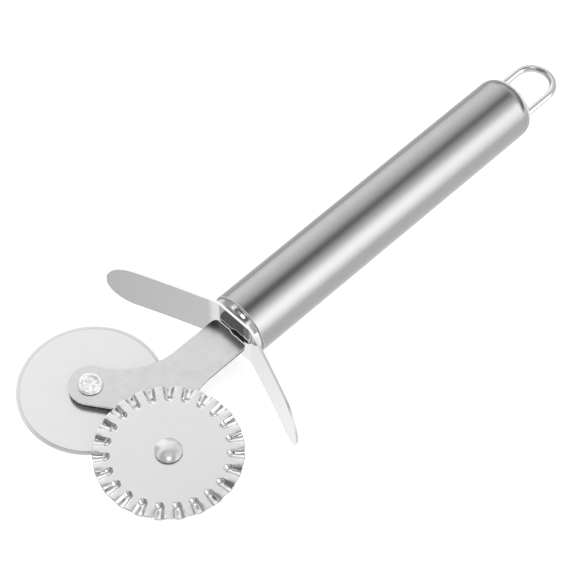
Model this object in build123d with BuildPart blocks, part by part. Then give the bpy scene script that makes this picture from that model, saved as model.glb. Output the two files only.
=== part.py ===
from build123d import *
from math import atan2, cos, degrees, radians, sin, sqrt, tan
import os

# Double pastry cutter: a plain and a fluted wheel on a forked plate, with a
# finger guard and a tubular handle.
#
# Frame: the handle's axis is X, with the hanging loop at +X and the wheels at
# -X. The origin is on that axis at the front rim of the handle tube. Z is the
# plate's normal: the fluted wheel is above the plate, the plain one below.
# All sizes are in millimetres.

# ---- driving dimensions ----------------------------------------------------

# Handle
BARREL_RADIUS = 10.55
BARREL_LENGTH = 117.0
TUBE_WALL = 0.7
PLUG_CLEARANCE = 0.05
PLUG_RADIUS = BARREL_RADIUS - TUBE_WALL - PLUG_CLEARANCE
PLUG_LENGTH = 6.0
SHEET = 0.8

# Rounded rear cap
CAP_SHOULDER_LENGTH = 5.0
CAP_SHOULDER_DEPTH = 4.6

# Hanging loop, bent from round wire
WIRE_RADIUS = 1.25
LOOP_BEND_RADIUS = 6.75
LOOP_BEND_X = 131.5
LOOP_LEG_START = 113.5
LEG_HOLE_CLEARANCE = 0.03

# Finger guard: a strip seen from above as a straight middle with two wings.
# A wing is where the straight part ends along Y, then the bend's end, the
# wing's middle and its tip.
GUARD_THICKNESS = 0.8
GUARD_WIDTH = 17.8
GUARD_X = -2.9
GUARD_WING_AT_PLAIN_WHEEL = (5.2, (-3.27, 7.1), (-10.6, 26.0), (-17.0, 41.0))
GUARD_WING_AT_FLUTED_WHEEL = (-7.2, (-3.27, -9.1), (-9.7, -26.0), (-16.2, -41.2))

# Ferrule: a neck that goes from round to a flattened oval
FERRULE_FRONT = GUARD_X + GUARD_THICKNESS / 2
FERRULE_SHOULDER_X = -0.8
FERRULE_SHOULDER = (9.3, 8.1)
FERRULE_OVAL = (8.7, 5.6)

# Forked plate
PLATE_THICKNESS = 1.5
SHANK_WIDTH = 13.8
SHANK_CENTRE_Y = -0.35
SHANK_REAR = GUARD_X - GUARD_THICKNESS / 2 - 0.3
SHANK_CORNER = 2.0
TANG_WIDTH = 9.0
TANG_END = 30.0
TANG_CLEARANCE = 0.05
EYE_RADIUS = 6.7
ARM_FILLET = 23.3
FORK_LINE_DEGREES = 55.8
CROTCH_FILLET = 8.0

# Core that grips the tang inside the tube
CORE_START = PLUG_LENGTH + 0.2
CORE_END = 36.0
CORE_SLOT_END = TANG_END + 0.5
CORE_RIB_WIDTH = 3.0
CORE_RIB_DEPTH = 1.6

# Wheels
WHEEL_X = -46.6
PLAIN_Y = 15.7
FLUTED_Y = -18.6
PLAIN_RADIUS = 22.5
PLAIN_THICKNESS = 0.8
BEVEL_WIDTH = 1.1
EDGE_THICKNESS = 0.2
FLUTED_RADIUS = 22.35
FLUTED_THICKNESS = 0.6
BORE_RADIUS = 2.55

# Flutes: troughs pressed down into the rim of the fluted wheel
FLUTE_COUNT = 23
FLUTE_INNER_AT = 18.5
FLUTE_INNER_HALF_WIDTH = 1.4
FLUTE_INNER_DEPTH = 1.15
FLUTE_RIM_HALF_WIDTH = 2.1
FLUTE_RIM_DEPTH = 1.25

# Rivets, spacers and washers
RIVET_RADIUS = 2.5
HEAD_RADIUS = 4.15
HEAD_HEIGHT = 1.5
HEAD_EDGE = 0.4
ROLL_RADIUS = 3.9
ROLL_HEIGHT = 0.9
ROLL_CREST_RADIUS = 3.2
HOLLOW_RADIUS = 1.45
HOLLOW_DEPTH = 1.2
SPACER_RADIUS = 4.2
PLAIN_SPACER = 0.95
FLUTED_SPACER = 1.65
WASHER_RADIUS = 3.6
WASHER_THICKNESS = 0.35
SIDE_PLAY = 0.05

# ---- places worked out from the dimensions ----------------------------------

PLATE_TOP = PLATE_THICKNESS / 2
PLATE_BOTTOM = -PLATE_THICKNESS / 2
PLAIN_TOP = PLATE_BOTTOM - PLAIN_SPACER - SIDE_PLAY
PLAIN_BOTTOM = PLAIN_TOP - PLAIN_THICKNESS
FLUTED_BOTTOM = PLATE_TOP + FLUTED_SPACER + SIDE_PLAY
FLUTED_TOP = FLUTED_BOTTOM + FLUTED_THICKNESS
PLAIN_AXIS = Axis((WHEEL_X, PLAIN_Y, 0), (0, 0, 1))
FLUTED_AXIS = Axis((WHEEL_X, FLUTED_Y, 0), (0, 0, 1))

os.makedirs("parts", exist_ok=True)


def save(builder, name):
    """Label a finished piece and write it to its own STEP file."""
    builder.part.label = name
    export_step(builder.part, f"parts/{name}.step")


def half_section(axis):
    """Upright plane through a wheel's axis: its x is the radius, its y is the height."""
    return Plane(origin=axis.position, x_dir=(1, 0, 0), z_dir=(0, -1, 0))


def on_circle(centre, radius, angle):
    """Point on a circle, with the angle in degrees."""
    x = centre[0] + radius * cos(radians(angle))
    y = centre[1] + radius * sin(radians(angle))
    return (x, y)


# ---- handle tube -------------------------------------------------------------

with BuildPart() as handle_tube:
    with BuildSketch(Plane.YZ):
        Circle(BARREL_RADIUS)
        Circle(BARREL_RADIUS - TUBE_WALL, mode=Mode.SUBTRACT)
    extrude(amount=BARREL_LENGTH)
save(handle_tube, "handle_tube")

# ---- rear cap: a deep-drawn cup whose skirt plugs into the tube ---------------


def cap_section(inset):
    """Half section of the cap's shoulder and end, drawn inset from its outside."""
    length = CAP_SHOULDER_LENGTH - inset
    depth = CAP_SHOULDER_DEPTH - inset
    radius = BARREL_RADIUS - inset
    shoulder = EllipticalCenterArc(
        (BARREL_LENGTH, radius - depth), length, depth, start_angle=0, arc_size=90
    )
    Polyline(
        shoulder @ 0,
        (BARREL_LENGTH + length, 0),
        (BARREL_LENGTH, 0),
        shoulder @ 1,
    )


with BuildPart() as rear_cap:
    with BuildSketch(Plane.XY):
        with BuildLine():
            cap_section(0)
        make_face()
    revolve(axis=Axis.X)
    with BuildSketch(Plane.YZ.offset(BARREL_LENGTH - PLUG_LENGTH)):
        Circle(PLUG_RADIUS)
    extrude(amount=PLUG_LENGTH)
    with BuildSketch(Plane.XY):
        with BuildLine():
            cap_section(SHEET + TUBE_WALL)
        make_face()
    revolve(axis=Axis.X, mode=Mode.SUBTRACT)
    with BuildSketch(Plane.YZ.offset(BARREL_LENGTH - PLUG_LENGTH)):
        Circle(PLUG_RADIUS - SHEET)
    extrude(amount=PLUG_LENGTH, mode=Mode.SUBTRACT)
    with BuildSketch(Plane.YZ.offset(BARREL_LENGTH - PLUG_LENGTH)):
        with Locations((LOOP_BEND_RADIUS, 0), (-LOOP_BEND_RADIUS, 0)):
            Circle(WIRE_RADIUS + LEG_HOLE_CLEARANCE)
    extrude(amount=2 * PLUG_LENGTH, mode=Mode.SUBTRACT)
save(rear_cap, "rear_cap")

# ---- hanging loop ------------------------------------------------------------

with BuildPart() as hanging_loop:
    with BuildLine(Plane.XY) as loop_path:
        leg_in = Line((LOOP_LEG_START, -LOOP_BEND_RADIUS), (LOOP_BEND_X, -LOOP_BEND_RADIUS))
        bend = ThreePointArc(
            leg_in @ 1,
            (LOOP_BEND_X + LOOP_BEND_RADIUS, 0),
            (LOOP_BEND_X, LOOP_BEND_RADIUS),
        )
        Line(bend @ 1, (LOOP_LEG_START, LOOP_BEND_RADIUS))
    with BuildSketch(Plane.YZ.offset(LOOP_LEG_START)):
        with Locations((-LOOP_BEND_RADIUS, 0)):
            Circle(WIRE_RADIUS)
    sweep(path=loop_path.wires()[0])
save(hanging_loop, "hanging_loop")

# ---- front ferrule: plug, neck and a slot for the tang -----------------------

with BuildPart() as front_ferrule:
    with BuildSketch(Plane.YZ):
        Circle(PLUG_RADIUS)
    with BuildSketch(Plane.YZ.offset(FERRULE_SHOULDER_X)):
        Ellipse(*FERRULE_SHOULDER)
    with BuildSketch(Plane.YZ.offset(FERRULE_FRONT)):
        Ellipse(*FERRULE_OVAL)
    loft()
    with BuildSketch(Plane.YZ):
        Circle(PLUG_RADIUS)
        Circle(PLUG_RADIUS - SHEET, mode=Mode.SUBTRACT)
    extrude(amount=PLUG_LENGTH)
    with BuildSketch(Plane.YZ.offset(FERRULE_FRONT)):
        with Locations((SHANK_CENTRE_Y, 0)):
            Rectangle(TANG_WIDTH + 2 * TANG_CLEARANCE, PLATE_THICKNESS + 2 * TANG_CLEARANCE)
    extrude(amount=PLUG_LENGTH, mode=Mode.SUBTRACT)
save(front_ferrule, "front_ferrule")

# ---- core inside the tube ----------------------------------------------------

with BuildPart() as tang_core:
    with BuildSketch(Plane.YZ.offset(CORE_START)):
        Circle(PLUG_RADIUS)
        with PolarLocations(PLUG_RADIUS, 6, start_angle=30):
            Rectangle(2 * CORE_RIB_DEPTH, CORE_RIB_WIDTH, mode=Mode.SUBTRACT)
    extrude(amount=CORE_END - CORE_START)
    with BuildSketch(Plane.YZ.offset(CORE_START)):
        with Locations((SHANK_CENTRE_Y, 0)):
            Rectangle(TANG_WIDTH + 2 * TANG_CLEARANCE, PLATE_THICKNESS + 2 * TANG_CLEARANCE)
    extrude(amount=CORE_SLOT_END - CORE_START, mode=Mode.SUBTRACT)
save(tang_core, "tang_core")

# ---- finger guard ------------------------------------------------------------

with BuildPart() as finger_guard:
    with BuildSketch(Plane.XY.offset(-GUARD_WIDTH / 2)):
        with BuildLine():
            for wing in (GUARD_WING_AT_PLAIN_WHEEL, GUARD_WING_AT_FLUTED_WHEEL):
                flat_y, bend_end, wing_middle, wing_tip = wing
                flat_end = (GUARD_X, flat_y)
                Line((GUARD_X, 0), flat_end)
                TangentArc(flat_end, bend_end, tangent=(0, flat_y))
                ThreePointArc(bend_end, wing_middle, wing_tip)
        trace(line_width=GUARD_THICKNESS)
    extrude(amount=GUARD_WIDTH)
    tip_high = GUARD_WING_AT_PLAIN_WHEEL[-1][1]
    tip_low = GUARD_WING_AT_FLUTED_WHEEL[-1][1]
    with BuildSketch(Plane.YZ.offset(-30)):
        with Locations(((tip_high + tip_low) / 2, 0)):
            SlotOverall(tip_high - tip_low, GUARD_WIDTH)
    extrude(amount=30, mode=Mode.INTERSECT)
    with BuildSketch(Plane.YZ.offset(-5)):
        with Locations((SHANK_CENTRE_Y, 0)):
            Rectangle(TANG_WIDTH + 4 * TANG_CLEARANCE, PLATE_THICKNESS + 4 * TANG_CLEARANCE)
    extrude(amount=5, mode=Mode.SUBTRACT)
save(finger_guard, "finger_guard")

# ---- forked plate ------------------------------------------------------------


def arm_points(eye_y, side):
    """Tangent points of one arm. side is 1 for the arm at +Y and -1 at -Y."""
    eye = (WHEEL_X, eye_y)
    edge_y = SHANK_CENTRE_Y + side * SHANK_WIDTH / 2
    fillet_y = edge_y + side * ARM_FILLET
    reach = sqrt((ARM_FILLET + EYE_RADIUS) ** 2 - (fillet_y - eye_y) ** 2)
    fillet_centre = (WHEEL_X + reach, fillet_y)
    to_fillet = degrees(atan2(fillet_y - eye_y, reach))
    to_fork_line = side * (270 - FORK_LINE_DEGREES)
    fillet_middle = (to_fillet + 360 + side * 90) / 2
    return {
        "shank": (fillet_centre[0], edge_y),
        "fillet_middle": on_circle(fillet_centre, ARM_FILLET, fillet_middle),
        "eye_start": on_circle(eye, EYE_RADIUS, to_fillet),
        "eye_middle": on_circle(eye, EYE_RADIUS, (to_fillet + to_fork_line) / 2),
        "eye_end": on_circle(eye, EYE_RADIUS, to_fork_line),
    }


plain_arm = arm_points(PLAIN_Y, 1)
fluted_arm = arm_points(FLUTED_Y, -1)
fork_half_gap = (plain_arm["eye_end"][1] - fluted_arm["eye_end"][1]) / 2
crotch = (
    plain_arm["eye_end"][0] + fork_half_gap / tan(radians(FORK_LINE_DEGREES)),
    plain_arm["eye_end"][1] - fork_half_gap,
)


def draw_arm(arm, shank_corner):
    """Outline of one arm, from the shank's rear corner round the eye to the crotch."""
    Line(shank_corner, arm["shank"])
    ThreePointArc(arm["shank"], arm["fillet_middle"], arm["eye_start"])
    ThreePointArc(arm["eye_start"], arm["eye_middle"], arm["eye_end"])
    Line(arm["eye_end"], crotch)


with BuildPart() as yoke_plate:
    with BuildSketch(Plane.XY.offset(PLATE_BOTTOM)) as plate_outline:
        with BuildLine():
            plain_corner = (SHANK_REAR, plain_arm["shank"][1])
            fluted_corner = (SHANK_REAR, fluted_arm["shank"][1])
            draw_arm(plain_arm, plain_corner)
            draw_arm(fluted_arm, fluted_corner)
            Line(plain_corner, fluted_corner)
        make_face()
        rear_corners = plate_outline.vertices().sort_by(Axis.X)[-2:]
        fillet(rear_corners, SHANK_CORNER)
        crotch_vertex = plate_outline.vertices().sort_by_distance((*crotch, PLATE_BOTTOM))[0]
        fillet(crotch_vertex, CROTCH_FILLET)
        with Locations(((SHANK_REAR + TANG_END) / 2, SHANK_CENTRE_Y)):
            Rectangle(TANG_END - SHANK_REAR, TANG_WIDTH)
        with Locations((WHEEL_X, PLAIN_Y), (WHEEL_X, FLUTED_Y)):
            Circle(RIVET_RADIUS, mode=Mode.SUBTRACT)
    extrude(amount=PLATE_THICKNESS)
save(yoke_plate, "yoke_plate")

# ---- plain wheel: flat disc with a bevel on both sides of its edge -----------

with BuildPart() as plain_wheel:
    with BuildSketch(half_section(PLAIN_AXIS)):
        with BuildLine():
            middle = (PLAIN_TOP + PLAIN_BOTTOM) / 2
            Polyline(
                (BORE_RADIUS, PLAIN_TOP),
                (PLAIN_RADIUS - BEVEL_WIDTH, PLAIN_TOP),
                (PLAIN_RADIUS, middle + EDGE_THICKNESS / 2),
                (PLAIN_RADIUS, middle - EDGE_THICKNESS / 2),
                (PLAIN_RADIUS - BEVEL_WIDTH, PLAIN_BOTTOM),
                (BORE_RADIUS, PLAIN_BOTTOM),
                close=True,
            )
        make_face()
    revolve(axis=PLAIN_AXIS)
save(plain_wheel, "plain_wheel")

# ---- fluted wheel ------------------------------------------------------------


def trough(grow):
    """One flute's rounded trough, as a solid, enlarged by grow on every side.

    Its cross-section is a circle whose centre stands above the wheel's face:
    the circle's size and height follow from the flute's half width and depth.
    """
    inner_radius = (FLUTE_INNER_HALF_WIDTH**2 + FLUTE_INNER_DEPTH**2) / (2 * FLUTE_INNER_DEPTH)
    rim_radius = (FLUTE_RIM_HALF_WIDTH**2 + FLUTE_RIM_DEPTH**2) / (2 * FLUTE_RIM_DEPTH)
    inner = Vector(FLUTE_INNER_AT, 0, FLUTED_TOP + inner_radius - FLUTE_INNER_DEPTH)
    rim = Vector(FLUTED_RADIUS, 0, FLUTED_TOP + rim_radius - FLUTE_RIM_DEPTH)
    along = rim - inner
    length = along.length
    overrun = 1.3
    start = inner_radius + grow
    end = start + (rim_radius - inner_radius) * overrun
    with BuildPart() as solid:
        with BuildSketch(Plane(origin=inner, x_dir=along, z_dir=(0, -1, 0))):
            with BuildLine():
                nose = CenterArc((0, 0), start, 90, 90)
                Polyline(nose @ 0, (length * overrun, end), (length * overrun, 0), nose @ 1)
            make_face()
        revolve(axis=Axis(inner, along))
    return solid.part


flute_groove = trough(0)
flute_shell = trough(FLUTED_THICKNESS)

with BuildPart() as fluted_wheel:
    with BuildSketch(Plane.XY.offset(FLUTED_BOTTOM)):
        with Locations((WHEEL_X, FLUTED_Y)):
            Circle(FLUTED_RADIUS)
    extrude(amount=FLUTED_THICKNESS)
    with Locations((WHEEL_X, FLUTED_Y)):
        with PolarLocations(0, FLUTE_COUNT):
            add(flute_shell)
        with PolarLocations(0, FLUTE_COUNT):
            add(flute_groove, mode=Mode.SUBTRACT)
    with BuildSketch(Plane.XY.offset(FLUTED_TOP)):
        with Locations((WHEEL_X, FLUTED_Y)):
            Circle(FLUTED_RADIUS)
            Circle(BORE_RADIUS, mode=Mode.SUBTRACT)
    extrude(amount=-3 * FLUTE_RIM_DEPTH, mode=Mode.INTERSECT)
save(fluted_wheel, "fluted_wheel")

# ---- rivets: a domed head, a shank and a rolled tubular end ------------------


def rivet(name, axis, head_z, far_z):
    """Rivet whose head seats at head_z and whose end is rolled over the face at far_z."""
    grip = abs(far_z - head_z)
    up = 1 if far_z > head_z else -1

    def at(radius, height):
        """Point of the half section, with the height counted from the head's seat."""
        return (radius, head_z + up * height)

    roll_top = grip + ROLL_HEIGHT
    hollow_floor = grip - HOLLOW_DEPTH
    with BuildPart() as piece:
        with BuildSketch(half_section(axis)):
            with BuildLine():
                dome = ThreePointArc(
                    at(0, -HEAD_HEIGHT),
                    at(0.62 * HEAD_RADIUS, -0.78 * HEAD_HEIGHT),
                    at(HEAD_RADIUS, -HEAD_EDGE),
                )
                shank = Polyline(
                    dome @ 1,
                    at(HEAD_RADIUS, 0),
                    at(RIVET_RADIUS, 0),
                    at(RIVET_RADIUS, grip),
                    at(ROLL_RADIUS - 0.2, grip),
                )
                roll = ThreePointArc(
                    shank @ 1,
                    at(ROLL_RADIUS, grip + 0.5 * ROLL_HEIGHT),
                    at(ROLL_CREST_RADIUS, roll_top),
                )
                funnel = ThreePointArc(
                    roll @ 1,
                    at(0.72 * ROLL_CREST_RADIUS, roll_top - 0.3 * ROLL_HEIGHT),
                    at(HOLLOW_RADIUS, grip),
                )
                Polyline(funnel @ 1, at(HOLLOW_RADIUS, hollow_floor), at(0, hollow_floor), dome @ 0)
            make_face()
        revolve(axis=axis)
    save(piece, name)


plain_head_z = PLAIN_BOTTOM - SIDE_PLAY - WASHER_THICKNESS
fluted_head_z = FLUTED_TOP + SIDE_PLAY + WASHER_THICKNESS
rivet("plain_wheel_rivet", PLAIN_AXIS, plain_head_z, PLATE_TOP)
rivet("fluted_wheel_rivet", FLUTED_AXIS, fluted_head_z, PLATE_BOTTOM)

# ---- rings round the rivets --------------------------------------------------


def ring(name, y, low, outer_radius, thickness):
    """Flat ring round a wheel's rivet, with its lower face at z = low."""
    with BuildPart() as piece:
        with BuildSketch(Plane.XY.offset(low)):
            with Locations((WHEEL_X, y)):
                Circle(outer_radius)
                Circle(BORE_RADIUS, mode=Mode.SUBTRACT)
        extrude(amount=thickness)
    save(piece, name)


ring("plain_wheel_spacer", PLAIN_Y, PLATE_BOTTOM - PLAIN_SPACER, SPACER_RADIUS, PLAIN_SPACER)
ring("fluted_wheel_spacer", FLUTED_Y, PLATE_TOP, SPACER_RADIUS, FLUTED_SPACER)
ring("plain_wheel_washer", PLAIN_Y, plain_head_z, WASHER_RADIUS, WASHER_THICKNESS)
ring(
    "fluted_wheel_washer",
    FLUTED_Y,
    fluted_head_z - WASHER_THICKNESS,
    WASHER_RADIUS,
    WASHER_THICKNESS,
)
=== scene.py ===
import math

import bmesh
import bpy
from mathutils import Matrix, Vector, noise


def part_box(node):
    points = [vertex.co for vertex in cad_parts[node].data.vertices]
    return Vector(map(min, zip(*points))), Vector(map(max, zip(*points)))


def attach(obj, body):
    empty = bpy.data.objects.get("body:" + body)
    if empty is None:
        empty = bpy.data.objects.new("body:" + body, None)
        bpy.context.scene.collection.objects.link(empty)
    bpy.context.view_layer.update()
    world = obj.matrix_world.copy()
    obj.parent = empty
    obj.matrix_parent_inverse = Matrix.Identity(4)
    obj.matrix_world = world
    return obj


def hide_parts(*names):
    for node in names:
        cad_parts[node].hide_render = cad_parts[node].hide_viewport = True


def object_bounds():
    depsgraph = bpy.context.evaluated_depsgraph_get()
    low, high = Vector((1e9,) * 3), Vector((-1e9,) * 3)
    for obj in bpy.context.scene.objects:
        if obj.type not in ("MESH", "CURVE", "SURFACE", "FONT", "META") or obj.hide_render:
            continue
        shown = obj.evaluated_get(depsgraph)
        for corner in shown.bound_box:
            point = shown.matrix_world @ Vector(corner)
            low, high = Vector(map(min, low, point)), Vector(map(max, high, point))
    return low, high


# Double pastry cutter in bare stainless steel: a plain and a fluted wheel on a
# forked plate, a bent finger guard and a tubular handle with a hanging loop.
# The CAD frame is used throughout: the handle runs along +X from the tube's
# front rim, the plain wheel is on the +Y side and the plate's normal is +Z.
# Lengths are given in millimetres, but in metres in the camera's section.
# A pair of numbers such as RIM_DEPTH is the range over which a look changes.

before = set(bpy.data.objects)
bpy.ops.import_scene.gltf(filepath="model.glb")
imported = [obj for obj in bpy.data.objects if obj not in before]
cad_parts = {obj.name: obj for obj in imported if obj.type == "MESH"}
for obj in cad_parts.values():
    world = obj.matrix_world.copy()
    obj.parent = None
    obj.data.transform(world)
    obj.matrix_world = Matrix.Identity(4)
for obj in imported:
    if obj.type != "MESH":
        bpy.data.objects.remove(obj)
cad_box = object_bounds()

MM = 0.001

# ---- shapes ------------------------------------------------------------------

MERGE_DISTANCE = 0.0005
WELD_DISTANCE = 0.001
SHARP_DEGREES = 40
FLAT_MARGIN = 0.03


def smooth(low, high, value):
    """0 at low, 1 at high, and an S-curve in between."""
    t = min(max((value - low) / (high - low), 0.0), 1.0)
    return t * t * (3 - 2 * t)


def box_centre(node):
    """Middle of a CAD node's box, in metres."""
    low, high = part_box(node)
    return (Vector(low) + Vector(high)) / 2


def rounded(corners, steps=5):
    """2-D outline in metres through (x, y, radius) corners, each turned into an arc.

    A point just before and after each arc keeps the shading of the straight
    parts flat.
    """
    outline = []
    for i, (x, y, radius) in enumerate(corners):
        corner = Vector((x, y))
        if radius == 0:
            outline.append(corner * MM)
            continue
        to_last = (Vector(corners[i - 1][:2]) - corner).normalized()
        to_next = (Vector(corners[(i + 1) % len(corners)][:2]) - corner).normalized()
        half_angle = to_last.angle(to_next) / 2
        centre = corner + (to_last + to_next).normalized() * radius / math.sin(half_angle)
        reach = radius / math.tan(half_angle)
        start = (corner + to_last * reach - centre).normalized()
        end = (corner + to_next * reach - centre).normalized()
        outline.append((corner + to_last * (reach + FLAT_MARGIN)) * MM)
        for step in range(steps + 1):
            outline.append((centre + start.slerp(end, step / steps) * radius) * MM)
        outline.append((corner + to_next * (reach + FLAT_MARGIN)) * MM)
    return outline


def turned(outline, origin, axis, segments):
    """Surface of revolution of a closed outline of (radius, place along the axis) points."""
    shape = bmesh.new()
    rings = []
    for radius, along in outline:
        ring = []
        for i in range(segments):
            angle = 2 * math.pi * i / segments
            across = (radius * math.cos(angle), radius * math.sin(angle))
            if axis == "X":
                place = Vector((along, *across))
            else:
                place = Vector((*across, along))
            ring.append(shape.verts.new(Vector(origin) + place))
        rings.append(ring)
    join_rings(shape, rings, closed=True)
    return shape


def join_rings(shape, rings, closed=False):
    """Quads between neighbouring rings, and between the last and the first when closed."""
    last = len(rings) if closed else len(rings) - 1
    for i in range(last):
        lower = rings[i]
        upper = rings[(i + 1) % len(rings)]
        for j in range(len(lower)):
            k = (j + 1) % len(lower)
            shape.faces.new((lower[j], lower[k], upper[k], upper[j]))


def finish_mesh(shape, name, sharp_degrees=SHARP_DEGREES):
    """Cleans a bmesh, gives it outward faces and smooth shading, and returns its mesh."""
    bmesh.ops.remove_doubles(shape, verts=shape.verts, dist=MERGE_DISTANCE * MM)
    bmesh.ops.dissolve_degenerate(shape, edges=shape.edges, dist=MERGE_DISTANCE * MM)
    bmesh.ops.recalc_face_normals(shape, faces=shape.faces)
    mesh = bpy.data.meshes.new(name)
    shape.to_mesh(mesh)
    shape.free()
    mesh.shade_smooth()
    mesh.set_sharp_from_angle(angle=math.radians(sharp_degrees))
    return mesh


def show(name, mesh, material, body, slot, *nodes):
    """Shows a mesh in place of CAD nodes, riding on a body."""
    piece = bpy.data.objects.new(name, mesh)
    bpy.context.scene.collection.objects.link(piece)
    mesh.materials.append(material)
    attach(piece, body)
    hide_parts(*nodes)


def keep(node, material, edge=0.0):
    """Keeps a CAD node: gives it a material and, with edge, rounds its sharp edges."""
    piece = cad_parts[node]
    piece.data.materials.clear()
    piece.data.materials.append(material)
    if edge:
        weld = piece.modifiers.new("weld", "WELD")
        weld.merge_threshold = WELD_DISTANCE * MM
        bevel = piece.modifiers.new("edge", "BEVEL")
        bevel.width = edge * MM
        bevel.segments = 3
        bevel.limit_method = "ANGLE"
        bevel.angle_limit = math.radians(SHARP_DEGREES)
        bevel.harden_normals = True


# ---- shader nodes --------------------------------------------------------------


def shader(tree, kind, inputs=None, **settings):
    """Adds a shader node. An input may be a value or the output of another node."""
    made = tree.nodes.new("ShaderNode" + kind)
    for name, value in settings.items():
        setattr(made, name, value)
    for key, value in (inputs or {}).items():
        socket = made.inputs[key]
        if isinstance(value, bpy.types.NodeSocket):
            tree.links.new(value, socket)
        else:
            socket.default_value = value
    return made


def calculate(tree, operation, first, second=0.0, third=0.0):
    """Result of a math node."""
    inputs = {0: first, 1: second, 2: third}
    return shader(tree, "Math", inputs, operation=operation).outputs[0]


def multiply(tree, first, second):
    """Product of two values."""
    return calculate(tree, "MULTIPLY", first, second)


def spread(tree, value, low, high, start=0.0, end=1.0, curve="LINEAR"):
    """Goes from low to high while a value goes from start to end."""
    inputs = {
        "Value": value,
        "From Min": start,
        "From Max": end,
        "To Min": low,
        "To Max": high,
    }
    return shader(tree, "MapRange", inputs, interpolation_type=curve).outputs["Result"]


def ease(tree, value, low, high, start, end):
    """Goes from low to high along an S-curve while a value goes from start to end."""
    return spread(tree, value, low, high, start, end, "SMOOTHSTEP")


def distance_from(tree, axes, centre):
    """Distance from a centre, seen along Z."""
    x = calculate(tree, "SUBTRACT", axes["X"], centre[0])
    y = calculate(tree, "SUBTRACT", axes["Y"], centre[1])
    squares = calculate(tree, "ADD", multiply(tree, x, x), multiply(tree, y, y))
    return calculate(tree, "SQRT", squares)


def place_axes(tree):
    """X, Y and Z of a point of the surface, in millimetres."""
    place = shader(tree, "TexCoord").outputs["Object"]
    inputs = {0: place, "Scale": 1 / MM}
    scaled = shader(tree, "VectorMath", inputs, operation="SCALE").outputs[0]
    return shader(tree, "SeparateXYZ", {0: scaled}).outputs


def normal_axes(tree):
    """X, Y and Z of the direction that the surface faces."""
    normal = shader(tree, "NewGeometry").outputs["Normal"]
    return shader(tree, "SeparateXYZ", {0: normal}).outputs


def speckle(tree, stretch, size, detail=3.0):
    """Noise in the piece's own space; size is a feature's width and stretch scales the axes."""
    place = shader(tree, "TexCoord").outputs["Object"]
    scaled = shader(tree, "Mapping", {"Vector": place, "Scale": stretch}).outputs[0]
    inputs = {"Vector": scaled, "Scale": 1 / (size * MM), "Detail": detail, "Roughness": 0.6}
    return shader(tree, "TexNoise", inputs).outputs["Fac"]


# ---- metal ---------------------------------------------------------------------

SATIN_METALLIC = 0.3
GRAIN_DEPTH = 0.0004
GRAIN_SIZE = 0.12
GRAIN_SHARE = 0.3
SMUDGE_SCALE = 3
PATCH_RANGE = (0.3, 0.7)
WORN_RANGE = (0.35, 0.95)
GRAZING_RANGE = (0.56, 0.82)


def metal(
    name,
    color,
    roughness,
    metallic=1.0,
    mottle=0.03,
    mottle_size=3,
    grain_stretch=(1, 1, 1),
    roughness_spread=0.05,
    grazing=0.0,
    satin=None,
    shade=None,
):
    """Bare metal: mottled colour, smudged roughness and a fine grain.

    grazing brightens the colour where the surface is seen edge-on, as a painted sheen. satin and
    shade may be functions of the node tree: satin returns 1 where the metal is matt rather than
    a mirror, and shade returns a factor for the colour in one place, mostly painted highlights
    and painted shade.
    """
    material = bpy.data.materials.new(name)
    material.use_nodes = True
    tree = material.node_tree
    surface = tree.nodes["Principled BSDF"]
    patches = speckle(tree, (1, 1, 1), mottle_size)
    value = spread(tree, patches, 1 - mottle, 1 + mottle, *PATCH_RANGE)
    if grazing:
        facing = shader(tree, "LayerWeight").outputs["Facing"]
        value = multiply(tree, value, ease(tree, facing, 1, 1 + grazing, *GRAZING_RANGE))
    if shade:
        value = multiply(tree, value, shade(tree))
    tint = shader(tree, "HueSaturation", {"Value": value, "Color": (*color, 1)})
    grain = speckle(tree, grain_stretch, GRAIN_SIZE, detail=2.0)
    smudges = speckle(tree, (1, 1, 1), SMUDGE_SCALE * mottle_size)
    worn = calculate(tree, "MULTIPLY_ADD", grain, GRAIN_SHARE, smudges)
    smoothest = roughness - roughness_spread
    roughest = roughness + roughness_spread
    rough = spread(tree, worn, smoothest, roughest, *WORN_RANGE)
    bump = shader(tree, "Bump", {"Strength": 1.0, "Distance": GRAIN_DEPTH * MM, "Height": grain})
    tree.links.new(tint.outputs[0], surface.inputs["Base Color"])
    tree.links.new(rough, surface.inputs["Roughness"])
    tree.links.new(bump.outputs[0], surface.inputs["Normal"])
    surface.inputs["Metallic"].default_value = metallic
    if satin:
        shine = spread(tree, satin(tree), metallic, SATIN_METALLIC)
        tree.links.new(shine, surface.inputs["Metallic"])
    return material


def upward(tree):
    """How far the surface faces up or down, 0 to 1."""
    return calculate(tree, "ABSOLUTE", normal_axes(tree)["Z"])


def is_side(tree):
    """1 on upright faces and 0 on level ones."""
    return spread(tree, upward(tree), 1, 0, 0.1, 0.6)


def is_level(tree):
    """1 on faces that look up or down, such as the edges of an upright strip."""
    return ease(tree, upward(tree), 0, 1, 0.3, 0.6)


# ---- handle --------------------------------------------------------------------

TUBE_WALL = 0.7
RIM_ROUNDING = 0.14
MOUTH_ROUNDING = 0.1
REAR_ROUNDING = 0.05
RIM_DEPTH = (0.1, 0.3)
# Painted highlight: the tube's front rim gets a brighter colour.
RIM_HIGHLIGHT = 1.6
# Painted highlight where the cap's end turns to face along the handle.
CAP_END_TURN = (0.3, 0.62)
CAP_END_HIGHLIGHT = 2.2
DRAWN_COLOR = (0.4, 0.398, 0.396)
DRAWN_GRAIN = {
    "mottle": 0.015,
    "mottle_size": 8,
    "grain_stretch": (0.02, 1, 1),
    "roughness_spread": 0.02,
}


def is_front_rim(tree):
    """1 at the tube's front rim, where the brushing stops and a highlight is painted, and 0
    behind it.
    """
    return ease(tree, place_axes(tree)["X"], 1, 0, *RIM_DEPTH)


def painted_rim_highlight(tree):
    """Painted highlight: brighter colour at the front rim."""
    return spread(tree, is_front_rim(tree), 1.0, RIM_HIGHLIGHT)


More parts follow.
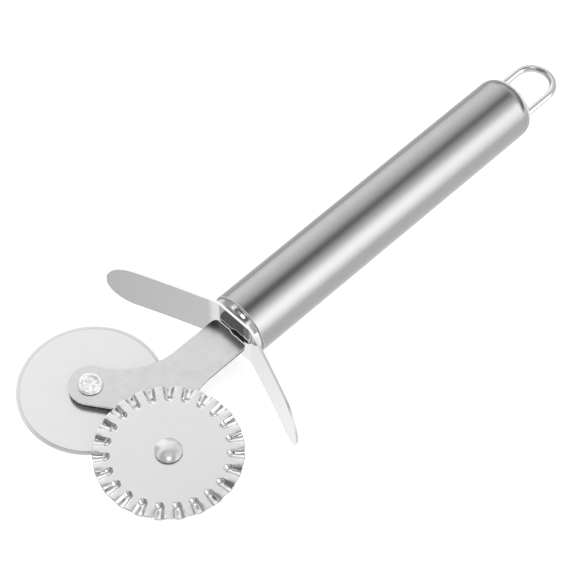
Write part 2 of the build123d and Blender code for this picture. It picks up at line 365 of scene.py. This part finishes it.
def painted_end_highlight(tree):
    """Painted highlight where the cap turns to face along the handle."""
    return ease(tree, normal_axes(tree)["X"], 1.0, CAP_END_HIGHLIGHT, *CAP_END_TURN)


def handle_tube():
    """Drawn tube with a rounded front rim."""
    rear_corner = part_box("handle_tube")[1]
    length = rear_corner[0] / MM
    outer = rear_corner[1] / MM
    inner = outer - TUBE_WALL
    outline = rounded(
        [
            (outer, 0, RIM_ROUNDING),
            (outer, length, REAR_ROUNDING),
            (inner, length, REAR_ROUNDING),
            (inner, 0, MOUTH_ROUNDING),
        ]
    )
    return finish_mesh(turned(outline, (0, 0, 0), "X", segments=240), "handle_tube_shell")


# Place along the handle, half width and half height of the neck's sections.
NECK_SECTIONS = (
    (6.0, 9.78, 9.78),
    (0.3, 9.82, 9.82),
    (-0.3, 9.82, 9.82),
    (-0.8, 9.6, 9.6),
    (-1.3, 9.4, 9.46),
    (-1.8, 9.15, 9.28),
    (-2.15, 8.95, 8.9),
    (-2.5, 8.7, 8.0),
)
NECK_SEGMENTS = 160
NECK_STEPS = 6
SQUARENESS = 0.8


def neck_ring(shape, section):
    """One cross-section of the neck, squarer as it gets flatter."""
    x, half_width, half_height = section
    power = 2 / (2 + SQUARENESS * (1 - half_height / half_width))
    ring = []
    for i in range(NECK_SEGMENTS):
        angle = 2 * math.pi * i / NECK_SEGMENTS
        y = half_width * math.copysign(abs(math.cos(angle)) ** power, math.cos(angle))
        z = half_height * math.copysign(abs(math.sin(angle)) ** power, math.sin(angle))
        ring.append(shape.verts.new(Vector((x, y, z)) * MM))
    return ring


def neck():
    """Pressed neck: round inside the tube, and a flattened oval at the guard."""
    shape = bmesh.new()
    rings = []
    for i in range(len(NECK_SECTIONS) - 1):
        before = Vector(NECK_SECTIONS[max(i - 1, 0)])
        start = Vector(NECK_SECTIONS[i])
        end = Vector(NECK_SECTIONS[i + 1])
        after = Vector(NECK_SECTIONS[min(i + 2, len(NECK_SECTIONS) - 1)])
        for step in range(NECK_STEPS):
            t = step / NECK_STEPS
            # Catmull-Rom curve through the sections.
            section = (
                start * 2
                + (end - before) * t
                + (before * 2 - start * 5 + end * 4 - after) * t**2
                + (start * 3 - before - end * 3 + after) * t**3
            ) / 2
            rings.append(neck_ring(shape, section))
    rings.append(neck_ring(shape, Vector(NECK_SECTIONS[-1])))
    join_rings(shape, rings)
    shape.faces.new(rings[0])
    shape.faces.new(rings[-1])
    return finish_mesh(shape, "neck")


barrel_steel = metal(
    "barrel_steel", DRAWN_COLOR, 0.2, satin=is_front_rim, shade=painted_rim_highlight, **DRAWN_GRAIN
)
cap_steel = metal("cap_steel", DRAWN_COLOR, 0.18, shade=painted_end_highlight, **DRAWN_GRAIN)
wire_steel = metal("wire_steel", (0.72, 0.72, 0.715), 0.14, metallic=0.85, mottle=0.02)
polished_steel = metal("polished_steel", (0.84, 0.84, 0.835), 0.15, metallic=0.9)
core_nylon = metal("core_nylon", (0.03, 0.03, 0.032), 0.5, metallic=0.0)

show("handle_tube_shell", handle_tube(), barrel_steel, "frame", "barrel_steel", "handle_tube")
show("neck", neck(), polished_steel, "frame", "polished_steel", "front_ferrule")
keep("rear_cap", cap_steel)
keep("hanging_loop", wire_steel)
keep("tang_core", core_nylon)

# ---- guard ---------------------------------------------------------------------

# Painted light on the guard: highlights on its edges and bends, and shade on the flat beside the
# slot.
EDGE_HIGHLIGHT = 1.7
BEND_HIGHLIGHT = 1.42
FLAT_SHADE = 0.62
FLAT_HALF_WIDTH = (4.9, 5.6)
FLAT_BOTTOM = (-0.5, 0.5)
BEND_END = (6.9, 9.4)
EDGE_HIGHLIGHT_FADE = (-16, -9)


def painted_guard_light(tree):
    """Painted highlights on the edges and on the bends beside the slot, and painted shade on the
    flat between them. The edges' painted highlight fades towards the tip on the fluted wheel's
    side.
    """
    axes = place_axes(tree)
    edge_highlight = spread(tree, axes["Y"], 1.0, EDGE_HIGHLIGHT, *EDGE_HIGHLIGHT_FADE)
    edges = multiply(tree, is_level(tree), edge_highlight)
    from_middle = calculate(tree, "ABSOLUTE", axes["Y"])
    beside_flat = ease(tree, from_middle, FLAT_SHADE, BEND_HIGHLIGHT, *FLAT_HALF_WIDTH)
    below_flat = spread(tree, axes["Z"], BEND_HIGHLIGHT, FLAT_SHADE, *FLAT_BOTTOM)
    around_flat = calculate(tree, "MAXIMUM", beside_flat, below_flat)
    beyond_bend = ease(tree, from_middle, 1.0, 1 / BEND_HIGHLIGHT, *BEND_END)
    bends = multiply(tree, around_flat, beyond_bend)
    return calculate(tree, "MAXIMUM", edges, bends)


# The guard's steel also brightens where it is seen edge-on, a painted sheen.
guard_steel = metal(
    "guard_steel",
    (0.565, 0.565, 0.561),
    0.12,
    mottle=0.01,
    roughness_spread=0.01,
    grazing=0.3,
    satin=is_level,
    shade=painted_guard_light,
)
keep("finger_guard", guard_steel)

# ---- plate ---------------------------------------------------------------------

PLATE_EDGE_ROUNDING = 0.28
# Painted light on the plate: a highlight line and a dark gap shadow at the rear end, and shade
# on the sides and underside.
HIGHLIGHT_LINE_START = (-3.8, -3.65)
GAP_SHADOW_START = (-3.5, -3.4)
HIGHLIGHT_LINE_GAIN = 2.2
GAP_SHADOW_SHADE = 0.03
WAVY_EDGE_STEP = (-0.2, 0.25)
WAVY_EDGE_STEP_ACROSS = (-1.5, 0.8)
WAVY_EDGE_RIPPLE = 0.7
WAVY_EDGE_RIPPLE_SIZE = 2.5
SIDE_SHADOW_TOP = (-0.2, -0.05)
SIDE_SHADOW_SHADE = 0.03
SIDE_HIGHLIGHT = 1.2
UNDERSIDE_TOP = (-0.7, -0.6)
UNDERSIDE_SHADE = 0.4


def behind_wavy_edge(tree):
    """Place along the plate, shifted by the wavy line of its rear end, where the painted
    highlight and gap shadow sit.
    """
    axes = place_axes(tree)
    step = ease(tree, axes["Y"], *WAVY_EDGE_STEP, *WAVY_EDGE_STEP_ACROSS)
    waves = speckle(tree, (0.01, 1, 0.01), WAVY_EDGE_RIPPLE_SIZE)
    before_ripple = calculate(tree, "SUBTRACT", axes["X"], step)
    return calculate(tree, "MULTIPLY_ADD", waves, WAVY_EDGE_RIPPLE, before_ripple)


def is_matt_edge(tree):
    """1 on the plate's sides, and on its rear end from the painted highlight line backwards."""
    burr = ease(tree, behind_wavy_edge(tree), 0, 1, *HIGHLIGHT_LINE_START)
    return calculate(tree, "MAXIMUM", is_side(tree), burr)


def plate_painted_light(tree):
    """On the sheared sides a painted highlight above and a painted shadow below, a painted
    highlight line before a painted dark gap shadow at the rear end, and painted shade on the
    underside.
    """
    height = place_axes(tree)["Z"]
    behind = behind_wavy_edge(tree)
    dark = ease(tree, behind, 1, GAP_SHADOW_SHADE, *GAP_SHADOW_START)
    bright = ease(tree, behind, 1, HIGHLIGHT_LINE_GAIN, *HIGHLIGHT_LINE_START)
    gain = ease(tree, height, SIDE_SHADOW_SHADE - 1, SIDE_HIGHLIGHT - 1, *SIDE_SHADOW_TOP)
    side = calculate(tree, "MULTIPLY_ADD", is_side(tree), gain, 1.0)
    underside = spread(tree, height, UNDERSIDE_SHADE, 1, *UNDERSIDE_TOP)
    return multiply(tree, multiply(tree, dark, bright), multiply(tree, side, underside))


plate_steel = metal(
    "plate_steel",
    (0.8, 0.8, 0.795),
    0.24,
    mottle=0.04,
    roughness_spread=0.02,
    satin=is_matt_edge,
    shade=plate_painted_light,
)
keep("yoke_plate", plate_steel, edge=PLATE_EDGE_ROUNDING)

# ---- plain wheel -----------------------------------------------------------------

BORE = 2.55
BORE_ROUNDING = 0.05
BEVEL_WIDTH = 1.1
BEVEL_ROUNDING = 0.1
CUTTING_EDGE = 0.28
CUTTING_EDGE_ROUNDING = 0.03
GROUND_START = (-0.04, 0.04)
# Painted light on the plain wheel's bevel: a dark line where the grinding starts and a lighter
# band out to the edge.
GROUND_LINE = (-0.06, 0.02)
GROUND_LINE_SHADE = 0.62
GROUND_BAND = (0.14, 0.24)
GROUND_BAND_HIGHLIGHT = 1.35


def plain_wheel():
    """Flat disc, ground on both sides to a thin edge."""
    low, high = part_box("plain_wheel")
    centre = box_centre("plain_wheel")
    radius = (high[0] - low[0]) / 2 / MM
    half = (high[2] - low[2]) / 2 / MM
    outline = rounded(
        [
            (BORE, half, BORE_ROUNDING),
            (radius - BEVEL_WIDTH, half, BEVEL_ROUNDING),
            (radius, CUTTING_EDGE, CUTTING_EDGE_ROUNDING),
            (radius, -CUTTING_EDGE, CUTTING_EDGE_ROUNDING),
            (radius - BEVEL_WIDTH, -half, BEVEL_ROUNDING),
            (BORE, -half, BORE_ROUNDING),
        ],
        steps=3,
    )
    shape = turned(outline, centre, "Z", segments=240)
    return finish_mesh(shape, "plain_disc", sharp_degrees=20)


def beyond_flat(tree, low, high, outside):
    """Goes from low to high over a range of distances outside the plain wheel's flat part."""
    low_corner, high_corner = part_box("plain_wheel")
    flat = (high_corner[0] - low_corner[0]) / 2 / MM - BEVEL_WIDTH
    from_axis = distance_from(tree, place_axes(tree), box_centre("plain_wheel") / MM)
    return ease(tree, from_axis, low, high, flat + outside[0], flat + outside[1])


def is_ground(tree):
    """1 where the plain wheel's rim is ground to its edge."""
    return beyond_flat(tree, 0, 1, GROUND_START)


def painted_bevel_light(tree):
    """Painted shade as a fine dark line where the grinding starts, and a painted highlight as a
    lighter band out to the edge.
    """
    line = beyond_flat(tree, 1, GROUND_LINE_SHADE, GROUND_LINE)
    band = beyond_flat(tree, 1, GROUND_BAND_HIGHLIGHT, GROUND_BAND)
    return multiply(tree, line, band)


plain_wheel_steel = metal(
    "plain_wheel_steel",
    (0.85, 0.85, 0.85),
    0.12,
    metallic=0.78,
    mottle=0.01,
    satin=is_ground,
    shade=painted_bevel_light,
)
show(
    "plain_disc",
    plain_wheel(),
    plain_wheel_steel,
    "plain_wheel",
    "plain_wheel_steel",
    "plain_wheel",
)

# ---- fluted wheel ------------------------------------------------------------------

FLUTES = 23
SHEET = 0.6
RIM_CORNER = 0.07
NOSE_AT = 18.55
NOSE_HALF_WIDTH = 1.35
NOSE_DEPTH = 0.95
GROOVE_START = 19.1
GROOVE_BLEND = 0.3
GROOVE_HALF_WIDTH = 1.4
GROOVE_RIM_HALF_WIDTH = 1.75
GROOVE_DEPTH = 0.8
GROOVE_RIM_DEPTH = 0.61
LAND_DIP = 0.14
LAND_FADE = 2.2
CREASE = 0.15
SOFTENING = (-0.09, -0.03, 0.03, 0.09)
UNDERSIDE_GROWTH = 0.35

FLAT_RADII = (6.0, 11.0, 15.0)
PRESSED_FROM = 16.7
PRESSED_RINGS = 28
FLUTE_SAMPLES = 24


def arc_depth(distance, half_width, depth):
    """Depth of a round-bottomed hollow at a distance from its middle."""
    if distance >= half_width:
        return 0.0
    radius = (half_width**2 + depth**2) / (2 * depth)
    return math.sqrt(radius**2 - distance**2) - radius + depth


def flute_depth(along, across, rim, grow):
    """Depth pressed into the sheet, along and across a flute's middle line.

    A flute is a round nose, then a groove that widens to the rim. The lands
    between the flutes dip a little towards them. grow moves a flute's walls
    outwards. The depth is averaged over a few spots, to soften the creases.
    """
    widening = (along - GROOVE_START) / (rim - GROOVE_START)
    groove_width = GROOVE_HALF_WIDTH + (GROOVE_RIM_HALF_WIDTH - GROOVE_HALF_WIDTH) * widening
    groove_depth = GROOVE_DEPTH + (GROOVE_RIM_DEPTH - GROOVE_DEPTH) * widening
    blend = smooth(GROOVE_START - GROOVE_BLEND, GROOVE_START + GROOVE_BLEND, along)
    depth = 0.0
    for spot in SOFTENING:
        sideways = max(abs(across + spot) - grow, 0.0)
        inward = max(abs(along + spot - NOSE_AT) - grow, 0.0)
        nose = arc_depth(math.hypot(inward, sideways), NOSE_HALF_WIDTH, NOSE_DEPTH)
        groove = blend * arc_depth(sideways, groove_width, groove_depth)
        meeting = max(1 - abs(nose - groove) / CREASE, 0.0)
        depth += max(nose, groove) + CREASE / 4 * meeting**2 * (nose > 0 and groove > 0)
    land = LAND_DIP * (1 + math.cos(FLUTES * math.atan2(across, along))) / 2
    dip = land * smooth(GROOVE_START, GROOVE_START + LAND_FADE, along)
    return depth / len(SOFTENING) + dip


def fluted_wheel():
    """Thin disc with flutes pressed down into its rim."""
    low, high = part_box("fluted_wheel")
    centre = box_centre("fluted_wheel") / MM
    rim = (high[0] - low[0]) / 2 / MM
    top = high[2] / MM
    bottom = top - SHEET
    radii = [BORE, *FLAT_RADII]
    for i in range(PRESSED_RINGS + 1):
        radii.append(PRESSED_FROM + (rim - RIM_CORNER - PRESSED_FROM) * i / PRESSED_RINGS)
    pitch = 2 * math.pi / FLUTES
    shape = bmesh.new()

    def surface_ring(radius, height, grow):
        """Ring of points at one radius, sunk by the flutes."""
        ring = []
        for i in range(FLUTES):
            for j in range(-FLUTE_SAMPLES, FLUTE_SAMPLES):
                share = (j + 0.5) / FLUTE_SAMPLES
                offset = share * pitch / 2
                angle = i * pitch + offset
                depth = 0.0
                if radius > PRESSED_FROM:
                    along = radius * math.cos(offset)
                    depth = flute_depth(along, radius * math.sin(offset), rim, grow)
                x = centre.x + radius * math.cos(angle)
                y = centre.y + radius * math.sin(angle)
                ring.append(shape.verts.new(Vector((x, y, height - depth)) * MM))
        return ring

    rings = [surface_ring(radius, top, 0.0) for radius in radii]
    rings.append(surface_ring(rim, top - RIM_CORNER, 0.0))
    rings.append(surface_ring(rim, bottom + RIM_CORNER, UNDERSIDE_GROWTH))
    for radius in reversed(radii):
        rings.append(surface_ring(radius, bottom, UNDERSIDE_GROWTH))
    join_rings(shape, rings, closed=True)
    return finish_mesh(shape, "fluted_disc", sharp_degrees=50)


fluted_wheel_steel = metal(
    "fluted_wheel_steel",
    (0.85, 0.85, 0.85),
    0.15,
    metallic=0.88,
    mottle=0.01,
    roughness_spread=0.02,
)
show(
    "fluted_disc",
    fluted_wheel(),
    fluted_wheel_steel,
    "fluted_wheel",
    "fluted_wheel_steel",
    "fluted_wheel",
)

# ---- rivets, spacers and washers ------------------------------------------------------

SHANK = 2.45
HEAD_HEIGHT = 1.5
HEAD_EDGE = 0.4
HEAD_SHOULDER = 0.25
HEAD_ROUNDING = 0.12
SEAT_ROUNDING = 0.1
DOME_STEPS = 14

ROLL = 3.85
ROLL_HEIGHT = 0.9
ROLL_ROUNDING = 0.65
CRATER_MOUTH = 2.75
CRATER_WALL = 2.3
CRATER_MIDDLE = 1.0
CRATER_DEPTH = 0.45
CRATER_WALL_DEPTH = 0.42
CRATER_ROUNDING = 0.3
CRATER_LIP_ROUNDING = 0.25

UNEVEN_DEPTH = 0.13
UNEVEN_BELOW_SEAT = 0.15
UNEVEN_FROM = 3.7
UNEVEN_FULLY = 2.6
COARSE_WAVES = 1.3
FINE_WAVES = 2.9
FINE_SHARE = 0.6

WASHER_EDGE_ROUNDING = 0.08
# Painted shade at the foot of the rolled end, against the plate.
FOOT_SHADE = 0.2
FOOT_SHADE_HEIGHT = (0.12, 0.38)


def painted_foot_shade(tree):
    """Painted shade in the corner where the rolled end meets the plate."""
    plate_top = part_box("yoke_plate")[1][2] / MM
    above_plate = calculate(tree, "SUBTRACT", place_axes(tree)["Z"], plate_top)
    return ease(tree, above_plate, FOOT_SHADE, 1, *FOOT_SHADE_HEIGHT)


def rivet_corners(head, length):
    """Half outline of a rivet, with its domed head up, as corners for rounded()."""
    middle = length / 2
    dome_rise = HEAD_HEIGHT - HEAD_EDGE
    dome_radius = (head**2 + dome_rise**2) / (2 * dome_rise)
    slope = math.asin((head - HEAD_SHOULDER) / dome_radius)
    seat = middle - HEAD_HEIGHT
    roll_top = -middle
    roll_seat = roll_top + ROLL_HEIGHT
    corners = []
    for i in range(DOME_STEPS + 1):
        angle = slope * i / DOME_STEPS
        height = middle - dome_radius * (1 - math.cos(angle))
        corners.append((dome_radius * math.sin(angle), height, 0))
    corners += [
        (head, seat + HEAD_EDGE, HEAD_ROUNDING),
        (head, seat, SEAT_ROUNDING),
        (SHANK, seat, 0),
        (SHANK, roll_seat, 0),
        (ROLL, roll_seat, SEAT_ROUNDING),
        (ROLL, roll_top, ROLL_ROUNDING),
        (CRATER_MOUTH, roll_top, CRATER_LIP_ROUNDING),
        (CRATER_WALL, roll_top + CRATER_WALL_DEPTH, CRATER_ROUNDING),
        (CRATER_MIDDLE, roll_top + CRATER_DEPTH, CRATER_ROUNDING),
        (0, roll_top + CRATER_DEPTH, 0),
    ]
    return corners


def rivet(node, name, up):
    """Rivet with a domed head at one end and a flattened, rolled end at the other.

    up is 1 when the domed head is above the plate and -1 when it is below.
    """
    low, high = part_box(node)
    head = (high[0] - low[0]) / 2 / MM
    length = (high[2] - low[2]) / MM
    outline = rounded(rivet_corners(head, length), steps=4)
    shape = turned(outline, (0, 0, 0), "Z", segments=128)
    uneven_below = ROLL_HEIGHT - length / 2 - UNEVEN_BELOW_SEAT
    for vertex in shape.verts:
        from_axis = math.hypot(vertex.co.x, vertex.co.y) / MM
        is_rolled_end = vertex.co.z / MM < uneven_below
        if is_rolled_end and from_axis < UNEVEN_FROM:
            coarse = noise.noise(vertex.co * COARSE_WAVES / MM)
            fine = noise.noise(vertex.co * FINE_WAVES / MM)
            fade = smooth(UNEVEN_FROM, UNEVEN_FULLY, from_axis)
            vertex.co.z += UNEVEN_DEPTH * MM * (coarse + FINE_SHARE * fine) * fade
    turn_over = Matrix.Rotation(0 if up == 1 else math.pi, 4, "X")
    to_place = Matrix.Translation(box_centre(node)) @ turn_over
    bmesh.ops.transform(shape, matrix=to_place, verts=shape.verts)
    return finish_mesh(shape, name, sharp_degrees=50)


rivet_steel = metal("rivet_steel", (0.72, 0.72, 0.715), 0.18, metallic=0.45, mottle=0.02)
# A lighter copy of the rivet steel for the rivet that shows its rolled end: painted light, with
# its own finer mottle.
lit_rivet_steel = metal(
    "lit_rivet_steel",
    (0.95, 0.95, 0.945),
    0.2,
    metallic=0.5,
    mottle=0.05,
    mottle_size=0.8,
    shade=painted_foot_shade,
)
washer_steel = metal("washer_steel", (0.55, 0.55, 0.545), 0.3)

show(
    "plain_rivet",
    rivet("plain_wheel_rivet", "plain_rivet", -1),
    lit_rivet_steel,
    "frame",
    "rivet_steel",
    "plain_wheel_rivet",
)
show(
    "fluted_rivet",
    rivet("fluted_wheel_rivet", "fluted_rivet", 1),
    rivet_steel,
    "frame",
    "rivet_steel",
    "fluted_wheel_rivet",
)
for wheel in ("plain_wheel", "fluted_wheel"):
    keep(wheel + "_spacer", washer_steel, edge=WASHER_EDGE_ROUNDING)
    keep(wheel + "_washer", washer_steel, edge=WASHER_EDGE_ROUNDING)

# ---- floor -------------------------------------------------------------------------------

FLOOR_HALF = 3000
FLOOR_COLOR = (0.93, 0.93, 0.93, 1)
FLOOR_LIFT = 0.62
NEAR_GLOW = (1.05, 0.72)
NEAR_ACROSS = (-25, 75)
FAR_GLOW = (0.55, 0)
FAR_ACROSS = (-160, -50)


def floor():
    """Pale matt floor under the lowest point.

    The camera sees it lifted towards white. Metal sees it glow: less below the
    plain wheel, and more far out on the fluted wheel's side.
    """
    height = cad_box[0][2]
    half = FLOOR_HALF * MM
    mesh = bpy.data.meshes.new("floor")
    corners = [(-half, -half), (half, -half), (half, half), (-half, half)]
    mesh.from_pydata([(x, y, height) for x, y in corners], [], [(0, 1, 2, 3)])
    piece = bpy.data.objects.new("floor", mesh)
    bpy.context.scene.collection.objects.link(piece)
    material = bpy.data.materials.new("floor_paper")
    material.use_nodes = True
    tree = material.node_tree
    rays = shader(tree, "LightPath").outputs
    surface = tree.nodes["Principled BSDF"]
    surface.inputs["Base Color"].default_value = FLOOR_COLOR
    surface.inputs["Roughness"].default_value = 1.0
    surface.inputs["Specular IOR Level"].default_value = 0.0
    surface.inputs["Emission Color"].default_value = (1, 1, 1, 1)
    lift = multiply(tree, rays["Is Camera Ray"], FLOOR_LIFT)
    tree.links.new(lift, surface.inputs["Emission Strength"])
    across = place_axes(tree)["Y"]
    near = spread(tree, across, *NEAR_GLOW, *NEAR_ACROSS)
    far = spread(tree, across, *FAR_GLOW, *FAR_ACROSS)
    glow = calculate(tree, "ADD", near, far)
    reflected = shader(tree, "Emission", {"Strength": glow}).outputs[0]
    sides = {0: rays["Is Glossy Ray"], 1: surface.outputs[0], 2: reflected}
    mixed = shader(tree, "MixShader", sides).outputs[0]
    tree.links.new(mixed, tree.nodes["Material Output"].inputs["Surface"])
    mesh.materials.append(material)


# ---- light -------------------------------------------------------------------------------

STUDIO_STRENGTH = 1.25
EVEN_LIGHT = 1.05
BRIGHTEST_BAND = 2.0
SCREEN_COLOR = (0.3, 0.3, 0.3, 1)
HOOD_SHADE = 0.03
HEAD_END_SHADE = 0.2
LOOP_END_SHADE = 0.45
LAMP_STRENGTH = 2.2
ZENITH_STRENGTH = 0.4

# Directions as unit vectors, and ranges of their X, Y or Z.
HOOD_CENTRE = (-0.175, -0.04)
HOOD_EDGE = (0.484, 0.613)
UPWARD = (0.0, 0.3)
HEADWARD = (-0.01, 0.14)
BELOW_HEAD_LIGHTS = (0.58, 0.8)
BEYOND_LOOP = (0.46, 0.66)
NEAR_FLOOR = (0.3, 0.5)
LOOPWARD = (0.54, 0.72)
FLUTED_SIDE = (0.25, 0.5)
LAMP_DIRECTION = Vector((-0.178, -0.185, 0.967)).normalized()
LAMP_EDGE = (0.983, 0.9945)
ZENITH_EDGE = (0.93, 0.98)

# Brightness seen in the metal, by the angle in degrees from overhead, about
# the handle's axis; minus is towards the fluted wheel.
STUDIO_BANDS = (
    (-180, 0.9),
    (-95, 1.15),
    (-80, 1.75),
    (-66, 1.95),
    (-52, 1.75),
    (-40, 1.2),
    (-28, 0.75),
    (-14, 0.49),
    (-4, 0.25),
    (3, 0.24),
    (12, 0.45),
    (24, 0.7),
    (36, 0.85),
    (60, 1.15),
    (75, 1.15),
    (95, 0.9),
    (180, 0.9),
)


def strip_lights(tree, axes):
    """Bright and dark bands along the handle, as a share of the brightest one."""
    around = calculate(tree, "ARCTAN2", axes["Y"], axes["Z"])
    turn = spread(tree, around, 0, 1, -math.pi, math.pi)
    ramp = shader(tree, "ValToRGB", {"Fac": turn})
    stops = ramp.color_ramp.elements
    ready_stops = len(stops)
    for i, (angle, brightness) in enumerate(STUDIO_BANDS):
        position = (angle + 180) / 360
        stop = stops[i] if i < ready_stops else stops.new(position)
        share = brightness / BRIGHTEST_BAND
        stop.position = position
        stop.color = (share, share, share, 1)
    return ramp.outputs["Color"]


def dark_ceiling(tree, axes):
    """Factor for a round dark hood overhead, a little towards the wheels."""
    from_hood = distance_from(tree, axes, HOOD_CENTRE)
    darkness = ease(tree, from_hood, 1 - HOOD_SHADE, 0, *HOOD_EDGE)
    is_up = ease(tree, axes["Z"], 0, 1, *UPWARD)
    return calculate(tree, "SUBTRACT", 1.0, multiply(tree, is_up, darkness))


def dim_ends(tree, axes):
    """Factor for the walls beyond the wheels and, near the floor, beyond the loop."""
    headward = ease(tree, axes["X"], 1, 0, *HEADWARD)
    low_down = ease(tree, axes["Z"], 1, 0, *BELOW_HEAD_LIGHTS)
    head_end = spread(tree, multiply(tree, headward, low_down), 1, HEAD_END_SHADE)
    beyond_loop = ease(tree, axes["X"], 0, 1, *BEYOND_LOOP)
    near_floor = ease(tree, axes["Z"], 1, 0, *NEAR_FLOOR)
    loop_end = spread(tree, multiply(tree, beyond_loop, near_floor), 1, LOOP_END_SHADE)
    return multiply(tree, head_end, loop_end)


def screened(tree, axes, bands):
    """The bands, with an even grey screen at the loop's end on the fluted wheel's side."""
    loopward = ease(tree, axes["X"], 0, 1, *LOOPWARD)
    fluted_side = ease(tree, axes["Y"], 1, 0, *FLUTED_SIDE)
    share = multiply(tree, loopward, fluted_side)
    return shader(tree, "MixRGB", {0: share, 1: bands, 2: SCREEN_COLOR}).outputs[0]


def overhead_lamp(tree, towards, axes):
    """Strength of a small soft lamp, and of a weak glow right overhead."""
    inputs = {0: towards, 1: LAMP_DIRECTION}
    facing = shader(tree, "VectorMath", inputs, operation="DOT_PRODUCT").outputs["Value"]
    lamp = ease(tree, facing, 0, LAMP_STRENGTH, *LAMP_EDGE)
    zenith = ease(tree, axes["Z"], 0, ZENITH_STRENGTH, *ZENITH_EDGE)
    return calculate(tree, "ADD", lamp, zenith)


def background(tree, color, strength):
    """Light from all round."""
    return shader(tree, "Background", {"Color": color, "Strength": strength}).outputs[0]


def studio():
    """Even white light; polished metal sees strip lights, a lamp and a dark ceiling instead."""
    world = bpy.data.worlds.new("studio")
    bpy.context.scene.world = world
    world.cycles.sampling_method = "NONE"
    world.use_nodes = True
    tree = world.node_tree
    tree.nodes.clear()
    towards = shader(tree, "TexCoord").outputs["Generated"]
    axes = shader(tree, "SeparateXYZ", {0: towards}).outputs
    white = (1, 1, 1, 1)
    walls = screened(tree, axes, strip_lights(tree, axes))
    dimming = multiply(tree, dark_ceiling(tree, axes), dim_ends(tree, axes))
    wall_strength = multiply(tree, dimming, BRIGHTEST_BAND * STUDIO_STRENGTH)
    strips = background(tree, walls, wall_strength)
    lamp = background(tree, white, overhead_lamp(tree, towards, axes))
    reflected = shader(tree, "AddShader", {0: strips, 1: lamp}).outputs[0]
    even = background(tree, white, EVEN_LIGHT)
    is_reflection = shader(tree, "LightPath").outputs["Is Glossy Ray"]
    mixed = shader(tree, "MixShader", {0: is_reflection, 1: even, 2: reflected}).outputs[0]
    output = shader(tree, "OutputWorld")
    tree.links.new(mixed, output.inputs["Surface"])


# ---- camera ------------------------------------------------------------------------------

LENS = 151.8
SENSOR_WIDTH = 36.0
CAMERA_DISTANCE = 0.7431
CAMERA_ROLL_DEGREES = -0.856
FARTHEST_SEEN = 20
LOOK_AT = Vector((0.0198, -0.00077, 0))
TOWARDS_CAMERA = Vector((-0.38771, -0.40314, 0.82895)).normalized()


def camera():
    """Long lens looking down at the cutter from its wheel end."""
    data = bpy.data.cameras.new("camera")
    data.sensor_width = SENSOR_WIDTH
    data.lens = LENS
    data.clip_end = FARTHEST_SEEN
    seen_from = bpy.data.objects.new("camera", data)
    bpy.context.scene.collection.objects.link(seen_from)
    bpy.context.scene.camera = seen_from
    aim = (-TOWARDS_CAMERA).to_track_quat("-Z", "Y").to_matrix()
    roll = Matrix.Rotation(math.radians(CAMERA_ROLL_DEGREES), 3, "Z")
    seen_from.rotation_mode = "QUATERNION"
    seen_from.rotation_quaternion = (aim @ roll).to_quaternion()
    seen_from.location = LOOK_AT + TOWARDS_CAMERA * CAMERA_DISTANCE


floor()
studio()
camera()
bpy.context.scene.view_settings.view_transform = "Standard"
bpy.context.scene.cycles.use_denoising = True
